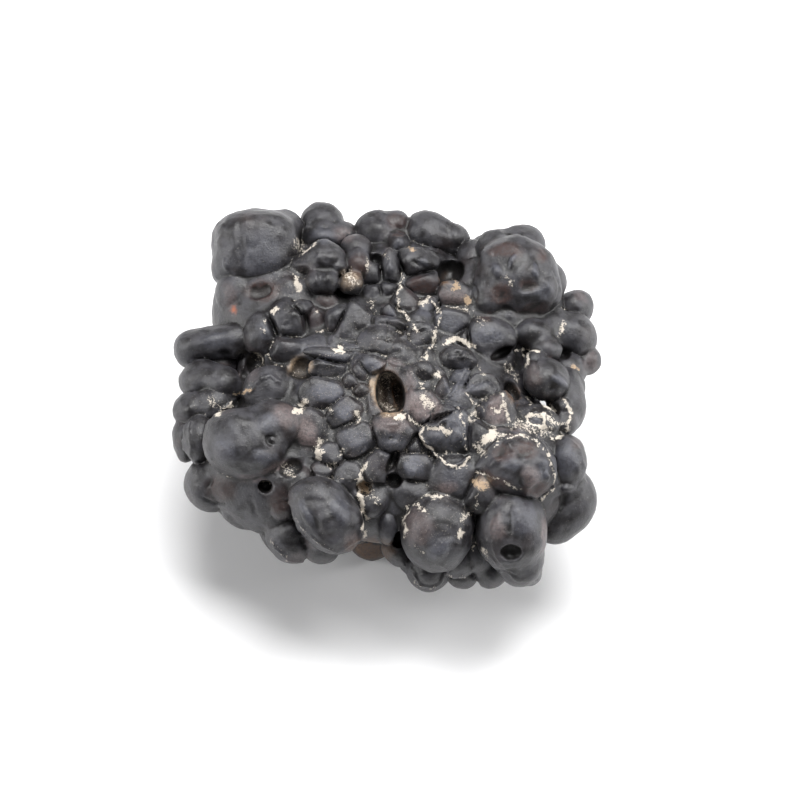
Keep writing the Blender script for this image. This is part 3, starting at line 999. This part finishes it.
def stone_field(masses, rears, lobes, cobbles):
    shape = [len(axis) for axis in grid_axes()]
    field = np.full(shape, 9.0, np.float32)
    for lump in masses:
        window, x, y, z = window_round(lump.centre, max(lump.sizes) + 2.5)
        field[window] = join_softly(field[window], lump_distance(lump, x, y, z), lump.soft)
    for lump in rears:
        window, x, y, z = window_round(lump.centre, max(lump.sizes) + 2)
        field[window] = join_grooved(field[window], lump_distance(lump, x, y, z), 0.8)
    for lobe in lobes:
        centre = sum(lump.centre for lump in lobe) / len(lobe)
        reach = max(np.abs(lump.centre - centre).max() + lump.sizes.max() for lump in lobe) + 2
        window, x, y, z = window_round(centre, reach)
        own = np.full(field[window].shape, 9.0, np.float32)
        for lump in lobe:
            shift = centre - lump.centre
            distance = lump_distance(lump, x + shift[0], y + shift[1], z + shift[2])
            own = join_softly(own, distance, lump.soft)
        field[window] = join_grooved(field[window], own, 1.0)
    for lump in cobbles:
        window, x, y, z = window_round(lump.centre, max(lump.sizes) + 1.5)
        distance = lump_distance(lump, x, y, z)
        if lump.soft > 0.25:
            field[window] = join_softly(field[window], distance, lump.soft)
        else:
            field[window] = join_grooved(field[window], distance, 0.55)
    return field


def sink_pits(field, lumps):
    for across, up, half_across, half_up, depth, turn in PITS:
        out = front(lumps, across, up)
        place = FACE_MIDDLE + SIGHT @ np.array((across, up, out))
        pit = Lump(place, in_plane_turn(turn), np.array((half_across, half_up, depth)), 2, (), 0)
        window, x, y, z = window_round(place, depth + 1)
        distance = lump_distance(pit, x, y, z)
        field[window] = -join_softly(-field[window], distance, PIT_ROUNDING)


def surface_of(field):
    """Points in millimetres and faces, which face out."""
    grid = openvdb.FloatGrid(background=FIELD_REACH)
    grid.copyFromArray(np.clip(field, -FIELD_REACH, FIELD_REACH))
    points, quads = grid.convertToQuads(isovalue=0.0)
    return points.astype(np.float64) * CELL + np.array(FIELD_LOW), quads


def field_at(field, points):
    """The field at these points, blended between its cells."""
    scaled = (points - np.array(FIELD_LOW)) / CELL
    scaled = np.clip(scaled, 0, np.array(field.shape) - 1.001)
    cell = np.floor(scaled).astype(int)
    part = scaled - cell
    total = np.zeros(len(points))
    for corner in range(8):
        step = np.array((corner & 1, corner >> 1 & 1, corner >> 2 & 1))
        weight = np.prod(np.where(step, part, 1 - part), axis=1)
        at = cell + step
        total += weight * field[at[:, 0], at[:, 1], at[:, 2]]
    return total


# Meshes

def mesh_object(name, points, faces):
    mesh = bpy.data.meshes.new(name)
    mesh.from_pydata((points * MM).tolist(), [], faces.tolist())
    mesh.update()
    mesh.shade_smooth()
    item = bpy.data.objects.new(name, mesh)
    bpy.context.collection.objects.link(item)
    return item


def points_of(item):
    found = np.empty(len(item.data.vertices) * 3, np.float32)
    item.data.vertices.foreach_get("co", found)
    return found.reshape(-1, 3).astype(np.float64) / MM


def set_points(item, points):
    item.data.vertices.foreach_set("co", (points * MM).astype(np.float32).ravel())
    item.data.update()


def normals_of(item):
    found = np.empty(len(item.data.vertices) * 3, np.float32)
    item.data.vertex_normals.foreach_get("vector", found)
    return found.reshape(-1, 3).astype(np.float64)


def as_seen(points):
    return (points - FACE_MIDDLE) @ SIGHT


def thin_out(item, most):
    count = sum(len(face.vertices) - 2 for face in item.data.polygons)
    thin = item.modifiers.new("thin", "DECIMATE")
    thin.ratio = most / count
    thin.use_collapse_triangulate = True
    graph = bpy.context.evaluated_depsgraph_get()
    mesh = bpy.data.meshes.new_from_object(item.evaluated_get(graph))
    item.modifiers.clear()
    item.data = mesh


DEPTH_CELL = 0.3
DEPTH_SLACK = 0.9


def is_seen(seen, facing):
    """Which points the eye sees, near enough: none much nearer lies in the same small square."""
    column = np.floor((seen[:, 0] + 40) / DEPTH_CELL).astype(int)
    row = np.floor((seen[:, 1] + 40) / DEPTH_CELL).astype(int)
    nearest = np.full((int(80 / DEPTH_CELL) + 2, int(80 / DEPTH_CELL) + 2), -99.0)
    np.maximum.at(nearest, (column, row), seen[:, 2])
    return (seen[:, 2] > nearest[column, row] - DEPTH_SLACK) & (facing > -0.1)


def swelling(seen, across, up, half_across, half_up, turn):
    """From 1 in the middle of a spot down to 0 at its rim."""
    cosine, sine = math.cos(math.radians(turn)), math.sin(math.radians(turn))
    x = seen[:, 0] - across
    y = seen[:, 1] - up
    reach = ((x * cosine + y * sine) / half_across) ** 2 + ((y * cosine - x * sine) / half_up) ** 2
    return np.clip(1 - reach, 0, 1) ** 1.5


def off_line(seen, line):
    """How far each point is seen from a line of straight stretches."""
    nearest = np.full(len(seen), 99.0)
    for (x0, y0), (x1, y1) in zip(line, line[1:]):
        length = (x1 - x0) ** 2 + (y1 - y0) ** 2
        along = ((seen[:, 0] - x0) * (x1 - x0) + (seen[:, 1] - y0) * (y1 - y0)) / length
        along = np.clip(along, 0, 1)
        gap = np.hypot(seen[:, 0] - x0 - along * (x1 - x0), seen[:, 1] - y0 - along * (y1 - y0))
        nearest = np.minimum(nearest, gap)
    return nearest


def sculpt(item):
    """Slow warps, the swellings and ridges of the face, and hammered dents all over."""
    points = points_of(item)
    normals = normals_of(item)
    seen = as_seen(points)
    shown = np.flatnonzero(is_seen(seen, normals @ OUT))
    face = seen[shown]
    wander = np.stack([noise(face, 1.1, 60 + axis) for axis in range(3)], 1) * 0.22
    face = face + wander
    push = np.zeros(len(shown))
    for across, up, half_across, half_up, turn, height in SWELLINGS:
        push += height * swelling(face, across, up, half_across * 1.15, half_up * 1.15, turn)
    for height, width, line in RIDGES:
        push += height * np.exp(-((off_line(face, line) / width) ** 2))
    points[shown] += normals[shown] * push[:, None]
    set_points(item, points)
    warp = np.stack([noise(points, 3.6, 20 + axis) for axis in range(3)], 1) * 0.16
    points += warp
    set_points(item, points)
    normals = normals_of(item)
    nearest, mark = strewn(points + warp * 2, 1.7, 3)
    dents = -0.10 * np.clip(1 - (nearest / 0.62) ** 2, 0, 1) * (0.5 + 0.5 * mark)
    fine = 0.04 * noise(points, 0.8, 41) + 0.025 * noise(points, 0.42, 42)
    points += normals * (dents + fine)[:, None]
    set_points(item, points)


def seat(item):
    """Presses what would reach under the table flat, and brings the footprint over the origin."""
    points = points_of(item)
    points[:, 2] = np.maximum(points[:, 2], 0)
    points[:, 0] -= FOOTPRINT_MIDDLE[0]
    points[:, 1] -= FOOTPRINT_MIDDLE[1]
    set_points(item, points)


# Colour, laid on the points of the mesh

def smoothed(values, edges, rounds):
    """The values, each blended with its neighbours' this many times."""
    count = np.bincount(edges.ravel(), minlength=len(values)).astype(float)[:, None]
    for _ in range(rounds):
        total = np.zeros_like(values)
        for axis in range(values.shape[1]):
            total[:, axis] = np.bincount(edges[:, 0], values[edges[:, 1], axis], len(values))
            total[:, axis] += np.bincount(edges[:, 1], values[edges[:, 0], axis], len(values))
        values = 0.3 * values + 0.7 * total / count
    return values


def hollowness(item, points, normals):
    """How hollow each point lies, in millimetres: small dips and wide ones."""
    edges = np.empty(len(item.data.edges) * 2, np.int32)
    item.data.edges.foreach_get("vertices", edges)
    edges = edges.reshape(-1, 2)
    near = smoothed(points, edges, 6)
    wide = smoothed(near, edges, 40)
    return (
        np.einsum("ij,ij->i", near - points, normals),
        np.einsum("ij,ij->i", wide - points, normals),
    )


def store(item, name, values):
    kind = "FLOAT" if values.ndim == 1 else "FLOAT_COLOR"
    layer = item.data.attributes.new(name, kind, "POINT")
    key = "value" if values.ndim == 1 else "color"
    layer.data.foreach_set(key, values.astype(np.float32).ravel())


def paint(item):
    points = points_of(item) + np.array((*FOOTPRINT_MIDDLE, 0))
    normals = normals_of(item)
    small, wide = hollowness(item, points, normals)
    seen = as_seen(points)
    shown = np.flatnonzero(is_seen(seen, normals @ OUT))
    wander = np.stack([noise(seen[shown], 0.9, 70 + axis) for axis in range(3)], 1) * 0.35
    wander += np.stack([noise(seen[shown], 0.3, 74 + axis) for axis in range(3)], 1) * 0.12
    face = seen[shown] + wander
    tint = np.zeros((len(points), 4))
    # Far from the face the same kinds of stain are strewn about.
    for index, (colour, share) in enumerate(((BROWN, 0.30), (PINK, 0.22), (BLUE, 0.34))):
        patch = noise(points, 3.2, 80 + index) + 0.5 * noise(points, 1.3, 84 + index)
        amount = np.clip((patch - 1 + 2 * share) * 1.6, 0, 1) * 0.6
        tint[:, :3] = tint[:, :3] * (1 - amount[:, None]) + np.array(colour) * amount[:, None]
        tint[:, 3] = 1 - (1 - tint[:, 3]) * (1 - amount)
    weight = np.zeros(len(shown))
    colour_sum = np.zeros((len(shown), 3))
    for colour, strength, across, up, half_across, half_up, turn in STAINS:
        amount = strength * np.clip(
            1.6 * swelling(face, across, up, half_across * 1.2, half_up * 1.2, turn), 0, 1
        )
        colour_sum = colour_sum * (1 - amount[:, None]) + np.array(colour) * amount[:, None]
        weight = 1 - (1 - weight) * (1 - amount)
    tint[shown, :3] = tint[shown, :3] * 0.35 * (1 - weight[:, None]) + colour_sum
    tint[shown, 3] = 1 - (1 - tint[shown, 3] * 0.35) * (1 - weight)
    tint[:, :3] /= np.maximum(tint[:, 3:], 1e-4)
    grime = np.zeros(len(points))
    tone = np.zeros((len(points), 4))
    tone[:] = (*CREAM, 1)
    strewn_dust = np.clip(noise(points, 4.0, 90) + 0.6 * noise(points, 1.4, 91) - 0.2, 0, 1)
    grime += np.clip(small * 14, 0, 1) * strewn_dust * 0.9
    specks = np.zeros(len(shown))
    for across, up, half_across, half_up, amount in SPECKLED:
        specks = np.maximum(specks, amount * swelling(face, across, up, half_across, half_up, 0) ** 0.4)
    speckle = np.full(len(points), 0.16)
    speckle[shown] = specks
    held = grime[shown] * 0.4 + np.clip(small[shown] * 10, 0, 0.5) * specks
    for colour, amount, width, line in DUST:
        lies = amount * np.clip(1.35 - off_line(face, line) / width, 0, 1)
        thicker = lies > held
        held[thicker] = lies[thicker]
        tone[shown[thicker], :3] = colour
    grime[shown] = held
    store(item, "tint", tint)
    store(item, "tone", tone)
    store(item, "grime", np.clip(grime, 0, 1))
    store(item, "speckle", speckle)
    store(item, "hollow", np.clip(0.5 + small * 5 + wide * 0.7, 0, 1))


# Materials

class Nodes:
    """Makes the nodes of one material."""

    def __init__(self, name):
        self.material = bpy.data.materials.new(name)
        self.material.use_nodes = True
        self.tree = self.material.node_tree
        self.shader = self.tree.nodes["Principled BSDF"]
        self.place = self.tree.nodes.new("ShaderNodeTexCoord").outputs["Object"]

    def put(self, socket, value):
        if isinstance(value, bpy.types.NodeSocket):
            self.tree.links.new(value, socket)
        elif isinstance(value, tuple):
            socket.default_value = (*value, 1) if len(value) == 3 and len(socket.default_value) == 4 else value
        else:
            socket.default_value = value

    def noise(self, size, detail=3, roughness=0.55, stretch=None):
        """Noise about 0.5 with hills of this size in millimetres."""
        node = self.tree.nodes.new("ShaderNodeTexNoise")
        node.inputs["Scale"].default_value = 1 / (size * MM)
        node.inputs["Detail"].default_value = detail
        node.inputs["Roughness"].default_value = roughness
        self.put(node.inputs["Vector"], self.place)
        return node.outputs["Fac"]

    def math(self, kind, first, second=0.0, clamp=False):
        node = self.tree.nodes.new("ShaderNodeMath")
        node.operation = kind
        node.use_clamp = clamp
        self.put(node.inputs[0], first)
        self.put(node.inputs[1], second)
        return node.outputs[0]

    def ramp(self, value, low, high, out_low=0.0, out_high=1.0):
        node = self.tree.nodes.new("ShaderNodeMapRange")
        node.interpolation_type = "SMOOTHSTEP"
        for key, given in (
            ("Value", value),
            ("From Min", low),
            ("From Max", high),
            ("To Min", out_low),
            ("To Max", out_high),
        ):
            self.put(node.inputs[key], given)
        return node.outputs["Result"]

    def mix(self, share, first, second):
        node = self.tree.nodes.new("ShaderNodeMix")
        node.data_type = "RGBA"
        self.put(node.inputs[0], share)
        self.put(node.inputs[6], first)
        self.put(node.inputs[7], second)
        return node.outputs[2]

    def laid(self, name, output="Fac"):
        """A value laid on the points of the mesh."""
        node = self.tree.nodes.new("ShaderNodeAttribute")
        node.attribute_name = name
        return node.outputs[output]

    def bump(self, height, distance, before=None):
        node = self.tree.nodes.new("ShaderNodeBump")
        node.inputs["Distance"].default_value = distance * MM
        self.put(node.inputs["Height"], height)
        if before is not None:
            self.put(node.inputs["Normal"], before)
        return node.outputs["Normal"]


def stone_material():
    nodes = Nodes("iron_oxide_crust")
    broad = nodes.noise(1.6, 4, 0.6)
    fine = nodes.noise(0.34, 3, 0.6)
    grain = nodes.noise(0.13, 2, 0.5)
    colour = nodes.mix(nodes.ramp(broad, 0.36, 0.66), DARK, GREY)
    soft = nodes.math("MULTIPLY", nodes.laid("tint", "Alpha"), nodes.ramp(fine, 0.25, 0.62, 0.35, 1.0))
    colour = nodes.mix(soft, colour, nodes.laid("tint", "Color"))
    # Wide hollows are darker, as little light and much soot-like oxide gets there.
    colour = nodes.mix(nodes.ramp(nodes.laid("hollow"), 0.56, 1.0, 0.0, 0.8), colour, (0.006, 0.0055, 0.005))
    # Fine light specks.
    speck = nodes.ramp(
        nodes.math("ADD", grain, nodes.math("MULTIPLY", nodes.laid("speckle"), 0.17)), 0.69, 0.76
    )
    colour = nodes.mix(nodes.math("MULTIPLY", speck, 0.55), colour, (0.30, 0.27, 0.24))
    # Dust that has stuck.
    worn = nodes.math("MULTIPLY", nodes.math("SUBTRACT", fine, 0.5), 1.5)
    crumbs = nodes.math("MULTIPLY", nodes.math("SUBTRACT", grain, 0.5), 1.3)
    dusty = nodes.math("ADD", nodes.laid("grime"), nodes.math("ADD", worn, crumbs))
    dusty = nodes.math("MULTIPLY", nodes.ramp(dusty, 0.46, 0.72), nodes.ramp(nodes.laid("grime"), 0.03, 0.15))
    colour = nodes.mix(nodes.math("MULTIPLY", dusty, 0.85), colour, nodes.laid("tone", "Color"))
    nodes.put(nodes.shader.inputs["Base Color"], colour)
    rough = nodes.ramp(broad, 0.3, 0.7, 0.36, 0.50)
    rough = nodes.math("ADD", rough, nodes.math("MULTIPLY", nodes.laid("tint", "Alpha"), 0.06))
    rough = nodes.math("MAXIMUM", rough, nodes.math("MULTIPLY", dusty, 0.9))
    nodes.put(nodes.shader.inputs["Roughness"], rough)
    normal = nodes.bump(nodes.noise(0.30, 3, 0.65), 0.05)
    normal = nodes.bump(grain, 0.035, normal)
    nodes.put(nodes.shader.inputs["Normal"], normal)
    return nodes.material


# Stage

def soft_light(name, place, size, power, target=(0, 0, 0.015), colour=(1, 1, 1)):
    lamp = bpy.data.lights.new(name, "AREA")
    lamp.shape = "RECTANGLE"
    lamp.size, lamp.size_y = size
    lamp.energy = power
    lamp.color = colour
    item = bpy.data.objects.new(name, lamp)
    bpy.context.collection.objects.link(item)
    item.location = place
    item.rotation_euler = (Vector(target) - Vector(place)).to_track_quat("-Z", "Y").to_euler()
    return item


def set_stage():
    bpy.ops.mesh.primitive_plane_add(size=3, location=(0, 0, 0))
    floor = bpy.context.object
    floor.name = "floor"
    paint = bpy.data.materials.new("pale_floor")
    paint.use_nodes = True
    shader = paint.node_tree.nodes["Principled BSDF"]
    shader.inputs["Base Color"].default_value = (0.9, 0.9, 0.905, 1)
    shader.inputs["Roughness"].default_value = 0.6
    floor.data.materials.append(paint)
    bpy.context.scene.view_settings.view_transform = "Standard"
    world = bpy.data.worlds.new("studio")
    bpy.context.scene.world = world
    world.use_nodes = True
    world.node_tree.nodes["Background"].inputs["Color"].default_value = (1, 1, 1, 1)
    world.node_tree.nodes["Background"].inputs["Strength"].default_value = 0.16
    soft_light("overhead", (0.06, 0.16, 0.52), (0.42, 0.32), 5.0)
    soft_light("left strip", (-0.42, -0.02, 0.20), (0.10, 0.30), 1.4)
    soft_light("right strip", (0.42, 0.05, 0.20), (0.10, 0.30), 1.6)


# Camera: a long lens, as far off as a product shot's, so that the view is nearly parallel.
# The face's middle is seen at this pixel of a picture 800 pixels square.
CAMERA_DISTANCE = 1.0
PIXEL = 0.12
PICTURE_MIDDLE = (400, 400)
FACE_MIDDLE_PIXEL = (386, 398)
SENSOR = 36.0


def set_camera():
    lens = bpy.data.cameras.new("camera")
    lens.sensor_width = SENSOR
    lens.lens = SENSOR * CAMERA_DISTANCE / (PIXEL * MM * 2 * PICTURE_MIDDLE[0])
    lens.clip_end = 10
    camera = bpy.data.objects.new("camera", lens)
    bpy.context.collection.objects.link(camera)
    across = (PICTURE_MIDDLE[0] - FACE_MIDDLE_PIXEL[0]) * PIXEL
    up = (FACE_MIDDLE_PIXEL[1] - PICTURE_MIDDLE[1]) * PIXEL
    aim = FACE_MIDDLE + SIGHT @ np.array((across, up, 0.0))
    aim[0] -= FOOTPRINT_MIDDLE[0]
    aim[1] -= FOOTPRINT_MIDDLE[1]
    camera.location = Vector(aim * MM + OUT * CAMERA_DISTANCE)
    camera.rotation_euler = (math.pi / 2 - SIGHT_TILT, 0, 0)
    bpy.context.scene.camera = camera


def dressed_stone():
    masses = mass_lumps()
    lobes = lobe_lumps()
    shown = masses + [lump for lobe in lobes for lump in lobe]
    cobbles = cobble_lumps(shown)
    field = stone_field(masses, rear_lumps(shown) + foot_lumps(), lobes, cobbles)
    sink_pits(field, shown + cobbles)
    points, quads = surface_of(field)
    stone = mesh_object("stone", points, quads)
    sculpt(stone)
    seat(stone)
    thin_out(stone, MOST_TRIANGLES)
    stone.data.shade_smooth()
    paint(stone)
    stone.data.materials.append(stone_material())
    return stone


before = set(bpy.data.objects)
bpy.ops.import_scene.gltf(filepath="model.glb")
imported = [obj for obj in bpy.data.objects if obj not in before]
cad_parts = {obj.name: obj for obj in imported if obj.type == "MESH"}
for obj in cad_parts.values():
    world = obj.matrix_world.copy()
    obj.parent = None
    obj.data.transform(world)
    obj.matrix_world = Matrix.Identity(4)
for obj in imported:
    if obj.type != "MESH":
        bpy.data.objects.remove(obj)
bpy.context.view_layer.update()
set_camera()
set_stage()
stone = dressed_stone()
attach(stone, "root")
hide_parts("concretion")
